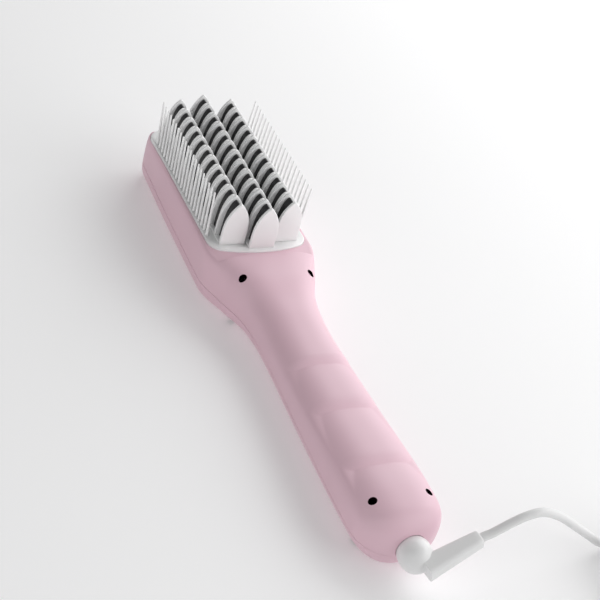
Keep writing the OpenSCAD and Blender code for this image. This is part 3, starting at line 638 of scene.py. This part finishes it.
# Points of one half of the housing on a grid of places y and turns t from one seam edge (0) to the
# other (1). A section is a superellipse, |x/w|^n + |z/h|^n = 1, taken in polar form; grooves and ridges
# are laid on the front, the rim is cut flat, and both ends shrink to a point on the seam
def housingGrid(y, t, inset, front):
    y = y[:, None]
    side = 1 if front else -1
    n = curve(squarenessPoints, y)
    n = n + s["innerSquareness"] * (n - s["gripSquareness"]) if inset else n
    toTip, toEnd = tipY - inset - y, y - endY - inset
    wide = ended(toTip, s["tipRound"] - inset, s["tipPower"])
    wide = wide * ended(toEnd, s["endRound"] - inset, s["endPower"])
    tall = ended(toTip, s["tipRise"] - inset, s["tipRisePower"])
    tall = tall * ended(toEnd, s["endRise"] - inset, s["endPower"])
    w = curve(planPoints, y) - inset
    roof = curve(frontPoints, y)
    if inset:
        roof = np.where(y > stepY - s["innerRoofAhead"], np.minimum(roof, s["rimHeight"]), roof) - inset
        roof = roof - s["grooveDepth"] * (y < neckY + s["innerFloorTo"])
    base = inset - s["belowBack"]
    mid, h = (roof + base) / 2, (roof - base) / 2
    edge = s["seamZ"] + side * s["seamGap"]
    lift = np.abs(edge - mid) / h
    edgeX = w * (1 - lift ** n) ** (1 / n)
    first = np.arctan2(edge - mid, edgeX)
    turn = first + side * t[None, :] * (np.pi - side * 2 * first)
    reach = (np.abs(np.cos(turn) / w) ** n + np.abs(np.sin(turn) / h) ** n) ** (-1 / n)
    x, z = reach * np.cos(turn), mid + reach * np.sin(turn)
    if not inset and front:
        z = z - grooveDepth(x, y)
        along = smooth((neckY + s["ridgeFrom"] - y) / s["ridgeFades"][0])
        along = along * smooth((y - neckY + s["ridgeReach"] * grip) / s["ridgeFades"][1])
        z = z + s["ridgeHeight"] * along * np.exp(-((np.abs(x) - s["ridgeX"]) / s["ridgeSpread"]) ** 2)
        limit = s["rimHeight"] + s["stepRise"] * smooth((stepY + s["stepStart"] - y) / s["stepRun"])
        z = softPick(z, limit, s["edgeBlend"])
    z = np.maximum(z, inset) if front else softPick(z, inset, s["edgeBlend"], -1)
    z = s["seamZ"] + tall * (z - s["seamZ"])
    bevel = np.clip(1 - np.abs(z - edge) / s["seamBevel"], 0, 1) * s["seamBevel"] * (not inset)
    x = wide * (x - np.sign(x) * bevel)
    return np.stack([x, np.broadcast_to(y, x.shape), z], 2)


# Places of the rows: closer at both ends, at the groove corners and at the step
def housingRows():
    count = s["endRows"]
    tip = tipY - s["tipRound"] * np.linspace(0, 1, count) ** 3
    end = endY + s["endRound"] * np.linspace(0, 1, count) ** 2.4
    body = np.linspace(endY + s["endRound"], tipY - s["tipRound"], s["bodyRows"])
    close = [np.linspace(near + 1, near - 3, s["grooveRows"]) for near, _ in grooveEnds]
    close.append(np.linspace(stepY - 2, stepY + 1, s["stepRows"]))
    rows = np.sort(np.concatenate([tip, end, body, *close]))
    keep = np.concatenate([[True], np.diff(rows) > s["leastRowGap"]])
    keep[:count] = keep[-count:] = True
    return rows[keep]


# One half of the housing: an outer and an inner skin, joined along the seam
def housingHalf(name, front):
    y = housingRows()
    columns = s["frontColumns"] if front else s["backColumns"]
    t = np.concatenate([[0, 0.004], np.linspace(0.008, 0.992, columns - 4), [0.996, 1]])
    middle = (endY + tipY) / 2
    inner = middle + (y - middle) * (1 - 2 * s["wall"] / (tipY - endY))
    skins = np.concatenate([housingGrid(y, t, 0, front), housingGrid(inner, t, s["wall"], front)], 1)
    points = skins.reshape(-1, 3)
    across = skins.shape[1]
    loop = np.concatenate([np.arange(columns), np.arange(columns, across)[::-1]])
    faces = []
    for i in range(len(y) - 1):
        a, b = i * across + loop, (i + 1) * across + loop
        faces.append(np.stack([a, np.roll(a, -1), np.roll(b, -1), b], 1))
    faces = np.concatenate(faces)
    faces = (faces[:, ::-1] if front else faces).tolist()
    return addPiece(name, points, faces, s["sharpAngle"])


# White frame that fills the head. Its outline has straight sides and bowed ends with round corners
frameSizes = {
    "rimWidth": 2.9,
    "bow": 4.4,
    "corner": 7,
    "gap": 0.15,
    "roundness": 0.5,
    "pocket": (-4, 6),
    "aboveLugs": 3,
}
frameLow, frameHigh = nodeBox("comb_frame")
frameWidth = s["headWidth"] - 2 * frameSizes["rimWidth"]
frameFarY, frameNearY, frameTop = frameHigh[1], frameLow[1], frameHigh[2]
frameMidY = (frameFarY + frameNearY) / 2
bowRadius = (frameWidth ** 2 / 4 + frameSizes["bow"] ** 2) / (2 * frameSizes["bow"])


# The frame's outline grown by over: each bowed end is an arc that a smaller arc joins to the sides
def frameOutline(over=0.0):
    half, radius, corner = frameWidth / 2 + over, bowRadius + over, frameSizes["corner"] + over
    span = math.sqrt((radius - corner) ** 2 - (half - corner) ** 2)
    turn = math.atan2(span, half - corner)
    bow = np.linspace(turn, math.pi - turn, 40)
    corners = np.linspace(0, turn, 16)
    arc = np.stack([radius * np.cos(bow), radius * np.sin(bow)], 1)
    bend = np.stack([half - corner + corner * np.cos(corners), span + corner * np.sin(corners)], 1)
    end = np.concatenate([bend[:-1], arc, (bend * (-1, 1))[::-1][1:]])
    far = end + (0, frameFarY + over - radius)
    near = end * (-1, -1) + (0, frameNearY - over + radius)
    return np.concatenate([far, near])


# Swivel ball, which both halves of the housing hold between dishes
ballSizes = {
    "diameter": 13.6,
    "stretch": 1.3,
    "dishGap": 0.2,
    "stemDiameter": 6.4,
    "clearance": 0.08,
    "steps": 28,
}
ballLow, ballHigh = nodeBox("swivel_ball")
swivelZ = (ballLow[2] + ballHigh[2]) / 2
ballY = ballLow[1] + ballSizes["diameter"] / 2


# Half a section of the ball, a sphere drawn out a little along Y, or with over of the dish that it turns in
def ballProfile(over=0.0):
    r = ballSizes["diameter"] / 2 + over
    a = np.linspace(0.02, math.pi / 2, ballSizes["steps"])
    rear = np.stack([r * np.sin(a), -r * np.cos(a)], 1)
    return np.concatenate([rear, (rear * (1, -1))[::-1] + (0, ballSizes["stretch"])])


def ballTool(over):
    points, faces = turned(ballProfile(over), (0, ballY, swivelZ), (0, 1, 0))
    return addPiece("tool", points, faces)


# Screw holes run down tubes inside the front shell, and the buttons stand in holes in the back cover
holeSizes = {"diameter": 3.2, "bottom": 6, "top": 40, "tubeDiameter": 6, "tubeTop": 20.5, "sides": 40}
buttonSizes = {"gap": 0.2, "flange": 1}
past = 2  # how far a cutting tool stands out of what it cuts
screwPlaces = [
    (side * gap / 2, y)
    for gap, y in ((33, neckY + 0.555 * shoulderLength), (24.8, endY + 16.4))
    for side in (-1, 1)
]


def makeFrontShell():
    shell = housingHalf("frontShell", True)
    low, high = (s["rimHeight"] + height for height in frameSizes["pocket"])
    carve(shell, addPiece("tool", *slab(frameOutline(frameSizes["gap"]), low, high, 0.1)))
    h = holeSizes
    outer, inner = h["tubeDiameter"] / 2, h["diameter"] / 2
    tube = [[outer, s["seamZ"] + 1], [outer, h["tubeTop"]]]
    tubes = [turned(tube, (x, y, 0), sides=h["sides"]) for x, y in screwPlaces]
    carve(shell, addPiece("tool", *joined(tubes)), "UNION")
    hole = [[inner, h["bottom"]], [inner, h["top"]]]
    holes = [turned(hole, (x, y, 0), sides=h["sides"]) for x, y in screwPlaces]
    carve(shell, addPiece("tool", *joined(holes)))
    carve(shell, ballTool(ballSizes["dishGap"]))
    stem = ballSizes["stemDiameter"] / 2 + ballSizes["clearance"]
    bore = [[stem, endY - 1], [stem, endY + 9]]
    carve(shell, addPiece("tool", *turned(bore, (0, 0, swivelZ), (0, 1, 0))))
    return shade(shell, s["sharpAngle"])


def makeBackCover():
    cover = housingHalf("backCover", False)
    carve(cover, ballTool(ballSizes["dishGap"]))
    for node in ("power_button", "plus_button", "minus_button"):
        low, high = nodeBox(node)
        r = (high[0] - low[0]) / 2 - buttonSizes["flange"] + buttonSizes["gap"]
        centre = ((low[0] + high[0]) / 2, (low[1] + high[1]) / 2, 0)
        carve(cover, addPiece("tool", *turned([[r, -past], [r, s["wall"] + past]], centre)))
    low, high = nodeBox("indicator_lens")
    low = (low[0] + buttonSizes["flange"], low[1] + buttonSizes["flange"], -past)
    high = (high[0] - buttonSizes["flange"], high[1] - buttonSizes["flange"], s["wall"] + past)
    carve(cover, addPiece("tool", *block(low, high)))
    return shade(cover, s["sharpAngle"])


frontShell = dress(makeFrontShell(), "pink_housing", "housing", "front_shell")
backCover = dress(makeBackCover(), "pink_housing", "housing", "back_cover")
print("housing made:", len(frontShell.data.polygons), "and", len(backCover.data.polygons), "faces")


# Teeth: three columns of black blades between white guard plates, all of them arches
teethSizes = {
    "columns": (-13, 0, 13),
    "pitch": 7.5,
    "counts": (11, 12, 11),
    "archFrom": 28,
    "blade": {"width": 7.8, "top": 45.6, "power": 2.6, "crown": 0.6, "tip": 0.0, "roundness": 0.4},
    "near": {"width": 8.8, "top": 45.6, "power": 2.6, "crown": 0.6, "tip": 0.0, "roundness": 0.25},
    "guard": {"width": 12.2, "top": 47.75, "power": 3.3, "crown": 1.0, "tip": 0.4, "roundness": 0.35},
    "bladeThickness": 3.2,
    "gap": 0.1,
    "farThickness": 1.3,
    "nearThickness": 0.8,
    "finThickness": 1.6,
    "finGap": 1.8,
    "strip": 0.8,
    "stripPast": 0.5,
    "stripRounding": 0.15,
    "rowThickness": 3,
    "sunk": 0.05,
    "topInset": 1.2,
    "archSteps": 30,
}


# An arch in the XZ plane, drawn in by inset. At half-width h it is as high as archFrom + rise t, where
# t = (1 - (2h/w)^(1/crown))^(1/power); h becomes sqrt(h^2 + tip^2), which rounds a pointed tip
def archOutline(form, foot, inset=0.0):
    width = form["width"] - 2 * inset
    rise = form["top"] - teethSizes["topInset"] * inset - teethSizes["archFrom"]
    turn = np.linspace(0, math.pi / 2, teethSizes["archSteps"])
    half = width / 2 * (1 - np.sin(turn) ** form["power"]) ** form["crown"]
    share = np.clip(2 * np.sqrt(half ** 2 + form["tip"] ** 2) / width, 0, 1)
    z = teethSizes["archFrom"] + rise * (1 - share ** (1 / form["crown"])) ** (1 / form["power"])
    side = np.stack([half, z], 1)
    feet = [[-width / 2, foot], [width / 2, foot]]
    return np.concatenate([feet, side, (side * (-1, 1))[-2::-1]])


# A plate of an arch from y to y + thickness, with rounded rims
def plate(form, x, y, thickness, foot):
    rings = []
    for inset, height in rimSteps(thickness, form["roundness"]):
        flat = archOutline(form, foot, inset)
        place = np.full(len(flat), y + thickness - height)
        rings.append(np.column_stack([x + flat[:, 0], place, flat[:, 1]]))
    return loft(rings)


def toothPlaces(column):
    count = teethSizes["counts"][column]
    return frameMidY + (np.arange(count) - (count - 1) / 2) * teethSizes["pitch"]


def makeGuardRow(name, column):
    t = teethSizes
    x, ys = t["columns"][column], toothPlaces(column)
    slotHalf = t["bladeThickness"] / 2 + t["gap"]
    foot = frameTop + t["strip"] - t["sunk"]
    near = ys[0] - slotHalf - t["finGap"] - t["finThickness"]
    far = ys[-1] + slotHalf + t["farThickness"] + t["stripPast"]
    half = t["guard"]["width"] / 2
    strip = slab(rectangle(x, half, near, far), frameTop, frameTop + t["strip"], t["stripRounding"])
    row = addPiece(name, *strip)
    slotX = t["blade"]["width"] / 2 + t["gap"]
    low, high = frameTop - 1, frameTop + past
    slots = [block((x - slotX, y - slotHalf, low), (x + slotX, y + slotHalf, high)) for y in ys]
    carve(row, addPiece("tool", *joined(slots)))
    plates = [plate(t["guard"], x, y + slotHalf, t["farThickness"], foot) for y in ys]
    thin = t["nearThickness"]
    plates += [plate(t["near"], x, y - slotHalf - thin, thin, foot) for y in ys[1:]]
    plates.append(plate(t["guard"], x, near, t["finThickness"], foot))
    return addTo(row, joined(plates))


# Adds more (points, faces) to a piece
def addTo(piece, more, angle=35):
    extra = addPiece("extra", *more)
    with bpy.context.temp_override(active_object=piece, selected_editable_objects=[piece, extra]):
        bpy.ops.object.join()
    return shade(piece, angle)


def makeHeaterRow(name, column):
    t = teethSizes
    x, ys = t["columns"][column], toothPlaces(column)
    low, high = nodeBox(name)
    top = low[2] + t["rowThickness"]
    parts = [block(low, (high[0], high[1], top))]
    thick = t["bladeThickness"]
    parts += [plate(t["blade"], x, y - thick / 2, thick, top - t["sunk"]) for y in ys]
    return addPiece(name.replace("_heater_row", "HeaterRow"), *joined(parts))


for column, side in enumerate(("left", "middle", "right")):
    dress(makeGuardRow(side + "GuardRow", column), "white_plastic", "housing", side + "_guard_row")
    dress(makeHeaterRow(side + "_heater_row", column), "black_teeth", "housing", side + "_heater_row")
print("teeth made")


def makeCombFrame():
    t = teethSizes
    low = frameLow[2] + frameSizes["aboveLugs"]
    piece = addPiece("combFrame", *slab(frameOutline(), low, frameTop, frameSizes["roundness"]))
    slots = []
    for column, x in enumerate(t["columns"]):
        ys = toothPlaces(column)
        half, reach = t["blade"]["width"] / 2 + t["gap"], t["bladeThickness"] / 2 + t["gap"]
        high = (x + half, ys[-1] + reach, frameTop + past)
        slots.append(block((x - half, ys[0] - reach, frameLow[2]), high))
    carve(piece, addPiece("tool", *joined(slots)))
    return piece


dress(makeCombFrame(), "white_plastic", "housing", "comb_frame")


# Needles: a row on a strip along each side, leaning a little outwards, with domed tips
needleSizes = {
    "count": 21,
    "pitch": 3.5,
    "fromEdge": 1.5,
    "foot": 1.5,
    "tip": 0.8,
    "length": 24,
    "lean": 3,
    "waist": 0.4,
    "sunk": 0.3,
    "stripWidth": 1.8,
    "stripThickness": 1,
    "stripAbove": 0.12,
    "sides": 14,
}


def makeNeedles(name, side):
    n = needleSizes
    lean = math.radians(n["lean"])
    axis = np.array([side * math.sin(lean), 0, math.cos(lean)])
    r = n["tip"] / 2
    dome = np.linspace(0, math.pi / 2, 4)[1:]
    root = n["foot"] / 2
    profile = [[root, 0], [root - n["waist"] * (root - r), n["waist"] * n["length"]], [r, n["length"] - r]]
    profile += [[max(r * math.cos(a), 0.02), n["length"] - r + r * math.sin(a)] for a in dome]
    x = side * (frameWidth / 2 - n["fromEdge"])
    parts = []
    for i in range(n["count"]):
        y = frameMidY + (i - (n["count"] - 1) / 2) * n["pitch"]
        parts.append(turned(profile, (x, y, frameTop - n["sunk"]), axis, n["sides"]))
    low, high = nodeBox("left_needles" if side < 0 else "right_needles")
    strip = rectangle(x, n["stripWidth"] / 2, low[1], high[1])
    parts.append(slab(strip, frameTop - n["stripThickness"], frameTop + n["stripAbove"], 0.1))
    return addPiece(name, *joined(parts))


dress(makeNeedles("leftNeedles", -1), "white_needles", "housing", "left_needles")
dress(makeNeedles("rightNeedles", 1), "white_needles", "housing", "right_needles")
print("frame and needles made")


# Swivel: the ball, whose section goes on behind it as a stem
stemRadius = ballSizes["stemDiameter"] / 2
profile = [p for p in ballProfile() if not (p[1] > ballSizes["stretch"] and p[0] < stemRadius)]
profile += [[stemRadius, profile[-1][1] + 0.01], [stemRadius, ballHigh[1] - ballY]]
swivelBall = addPiece("swivelBall", *turned(profile, (0, ballY, swivelZ), (0, 1, 0)))
dress(swivelBall, "swivel_white", "cord_swivel", "swivel_ball")


# Strain relief: its width and thickness at the root and at the end, whose lip is drawn in a little
armSizes = {
    "width": (8.8, 6.2),
    "thickness": (7.9, 6),
    "corner": 2,
    "rings": 12,
    "lipLength": 0.6,
    "lipInset": 0.3,
    "mouth": 5,
}


# One section of the strain relief: a rectangle with rounded corners, width by thickness
def armSection(width, thickness, corner, steps=6):
    a = np.linspace(0, math.pi / 2, steps)
    bend = corner * np.stack([np.cos(a), np.sin(a)], 1) + (width / 2 - corner, thickness / 2 - corner)
    flips = ((1, 1, 1), (-1, 1, -1), (-1, -1, 1), (1, -1, -1))
    return np.concatenate([(bend * (sx, sy))[::step] for sx, sy, step in flips])


def makeStrainRelief():
    a = armSizes
    across = np.cross([0, 0, 1], armWay)
    across /= np.linalg.norm(across)
    up = np.cross(armWay, across)
    places = [1, *np.linspace(2, armLength - a["lipLength"], a["rings"]), armLength - 0.25, armLength]
    rings = []
    for place in places:
        share = place / armLength
        inset = a["lipInset"] * max(0, (place - armLength) / a["lipLength"] + 1) ** 2
        width, thickness = (first + (last - first) * share for first, last in (a["width"], a["thickness"]))
        flat = armSection(width - 2 * inset, thickness - 2 * inset, a["corner"])
        rings.append(armRoot + armWay * place + flat[:, :1] * across + flat[:, 1:] * up)
    turn = np.arctan2(flat[:, 1], flat[:, 0])
    circle = np.stack([np.cos(turn), np.sin(turn)], 1) * a["mouth"] / 2
    for depth, share in ((0, 1), (0.1, 0.98), (cordSizes["mouthDepth"], 0.98)):
        ring = circle * share
        rings.append(armRoot + armWay * (armLength - depth) + ring[:, :1] * across + ring[:, 1:] * up)
    return addPiece("strainRelief", *loft(rings))


strainRelief = dress(makeStrainRelief(), "soft_white", "cord_swivel", "strain_relief")
print("swivel made")


# Plug: a flat body that tapers to a round neck. Its sections across X are superellipses
plugSizes = {
    "neck": 7,
    "neckLength": 12,
    "flare": 0.2,
    "waist": 7.5,
    "shoulder": 11,
    "squareness": 5,
    "sides": 96,
}
plugLow, plugHigh = nodeBox("plug_body")


def makePlugBody():
    p = plugSizes
    front, back, end = plugLow[0], plugHigh[0] - p["neckLength"], plugHigh[0]
    _, wide, tall = (plugHigh - plugLow) / 2
    _, middleY, middleZ = (plugLow + plugHigh) / 2
    neck = p["neck"] / 2
    x = np.concatenate([
        front + 5 * np.linspace(0, 1, 10) ** 2, np.linspace(front + 6, back - 4, 24),
        np.linspace(back - 3.7, back + 1, 16), np.linspace(back + 2, end, 8),
    ])[:, None]
    neckPoints = [(back + 1, neck + p["flare"]), (end, neck)]
    bodyPoints = [(front, wide - 1.6), (front + 4, wide), (back - 6, p["shoulder"]), (back - 1, p["waist"])]
    halfWide = curve(bodyPoints + neckPoints, x)
    halfTall = curve([(front, tall - 1.2), (front + 3, tall), (back - 8, tall), *neckPoints], x)
    power = curve([(front, p["squareness"]), (back - 8, p["squareness"]), (back + 1, 2), (end, 2)], x)
    a = np.linspace(0, 2 * math.pi, p["sides"], endpoint=False)[None, :]
    reach = np.abs(np.cos(a) / halfWide) ** power + np.abs(np.sin(a) / halfTall) ** power
    reach = reach ** (-1 / power)
    along = np.broadcast_to(x, reach.shape)
    rings = np.stack([along, middleY + reach * np.cos(a), middleZ + reach * np.sin(a)], 2)
    return addPiece("plugBody", *loft(rings), 40)


plugBody = dress(makePlugBody(), "soft_white", "cord_swivel", "plug_body")
tuple(cordPath[0] * mm)
(cordPath * mm).tolist()
print("plug made")


# Floor and light
studio = {
    "floorHalf": 4.0,
    "floorColour": (0.82, 0.82, 0.825),
    "floorGlow": 0.18,
    "world": 0.2,
    "lights": {
        "rightNear": {"place": (0.78, -0.546, 0.444), "size": 1.1, "power": 7.4},
        "rightFar": {"place": (0.745, 0.522, 0.525), "size": 1.1, "power": 8.4},
        "left": {"place": (-0.927, -0.337, 0.359), "size": 1.1, "power": 2.7},
        "front": {"place": (-0.4, -0.7, 0.67), "size": 0.9, "power": 1.0},
    },
}
floorMesh = bpy.data.meshes.new("floor")
half = studio["floorHalf"]
corners = [(-half, -half, 0), (half, -half, 0), (half, half, 0), (-half, half, 0)]
floorMesh.from_pydata(corners, [], [(0, 1, 2, 3)])
floor = bpy.data.objects.new("floor", floorMesh)
bpy.context.scene.collection.objects.link(floor)
paleFloor = Finish("paleFloor", Roughness=0.7, **{"Emission Strength": studio["floorGlow"]})
pale = studio["floorColour"]
drift = paleFloor.noise(1.5, detail=2)
paleFloor.set(Base_Color=paleFloor.mixed(drift, shaded(pale, 0.99), shaded(pale, 1.01)))
paleFloor.shader.inputs["Emission Color"].default_value = (1, 1, 1, 1)
floor.data.materials.append(paleFloor.material)
for name, given in studio["lights"].items():
    lamp = bpy.data.lights.new(name, "AREA")
    lamp.energy = given["power"]
    lamp.size = given["size"]
    holder = bpy.data.objects.new(name, lamp)
    holder.location = given["place"]
    holder.rotation_euler = Vector(given["place"]).to_track_quat("Z", "Y").to_euler()
    bpy.context.scene.collection.objects.link(holder)
world = bpy.data.worlds.new("studio")
world.use_nodes = True
world.node_tree.nodes["Background"].inputs["Color"].default_value = (1, 1, 1, 1)
world.node_tree.nodes["Background"].inputs["Strength"].default_value = studio["world"]
bpy.context.scene.world = world
bpy.context.scene.view_settings.view_transform = "Standard"
print("studio made")
